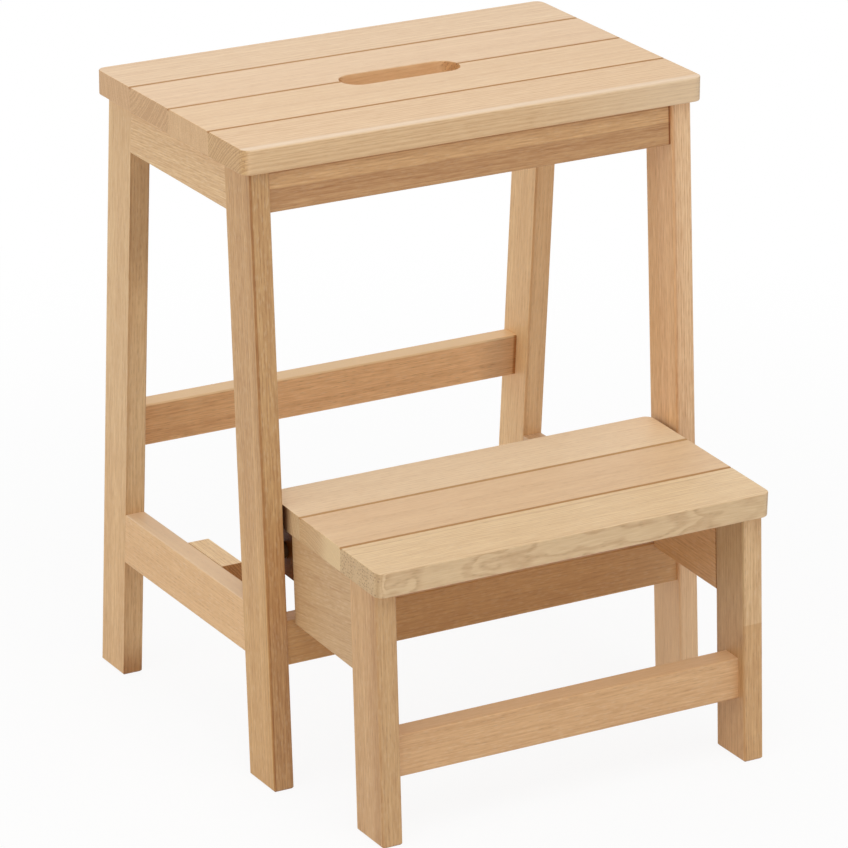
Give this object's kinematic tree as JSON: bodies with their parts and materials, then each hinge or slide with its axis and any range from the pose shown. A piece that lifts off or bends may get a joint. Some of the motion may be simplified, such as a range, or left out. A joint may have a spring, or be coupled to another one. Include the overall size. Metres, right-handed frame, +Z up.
{
  "type": "folding step stool",
  "caption": "Oak step stool with splayed legs, a plank seat with a hand slot, and a lower plank step that swings up on pivots and stows inside the frame.",
  "frame": {"origin": "on the floor, at the middle of the footprint with the step down", "axes": "+X along the planks to the user's right when facing the stool, -Y to the front where the lower step stands, +Z up"},
  "size_m": [0.3944, 0.4212, 0.5],
  "materials": {
    "oak_board": "light oiled oak, planed planks",
    "oak_frame": "light oiled oak, planed bars",
    "beech_dowel": "turned beech, hidden",
    "zinc_steel": "bright zinc plated",
    "brass_insert": "turned brass, hidden",
    "nylon_spacer": "natural nylon"
  },
  "bodies": {
    "frame": {"seat_plank_rear": "oak_board", "seat_plank_rear_middle": "oak_board", "seat_plank_front_middle": "oak_board", "seat_plank_front": "oak_board", "front_leg_left": "oak_frame", "front_leg_right": "oak_frame", "rear_leg_left": "oak_frame", "rear_leg_right": "oak_frame", "front_apron": "oak_frame", "rear_apron": "oak_frame", "front_stretcher": "oak_frame", "rear_stretcher": "oak_frame", "side_apron_left": "oak_frame", "side_apron_right": "oak_frame", "side_stretcher_left": "oak_frame", "side_stretcher_right": "oak_frame", "stow_cleat_left": "oak_frame", "stow_cleat_right": "oak_frame", "cleat_screws": "zinc_steel", "seat_dowels": "beech_dowel", "cross_rail_dowels": "beech_dowel", "side_rail_dowels": "beech_dowel", "pivot_bolts": "zinc_steel", "pivot_spacers": "nylon_spacer", "pivot_washers": "zinc_steel", "pivot_inserts": "brass_insert"},
    "step": {"step_plank_rear": "oak_board", "step_plank_middle": "oak_board", "step_plank_front": "oak_board", "step_leg_left": "oak_frame", "step_leg_right": "oak_frame", "step_apron_left": "oak_frame", "step_apron_right": "oak_frame", "step_stretcher": "oak_frame", "step_board_dowels": "beech_dowel", "step_frame_dowels": "beech_dowel"}
  },
  "joints": [
    {"name": "step_swing", "type": "hinge", "parent": "frame", "child": "step", "pos_m": [0, -0.05238, 0.18145], "axis": [-1, 0, 0], "range_deg": [0, 181.9]}
  ]
}
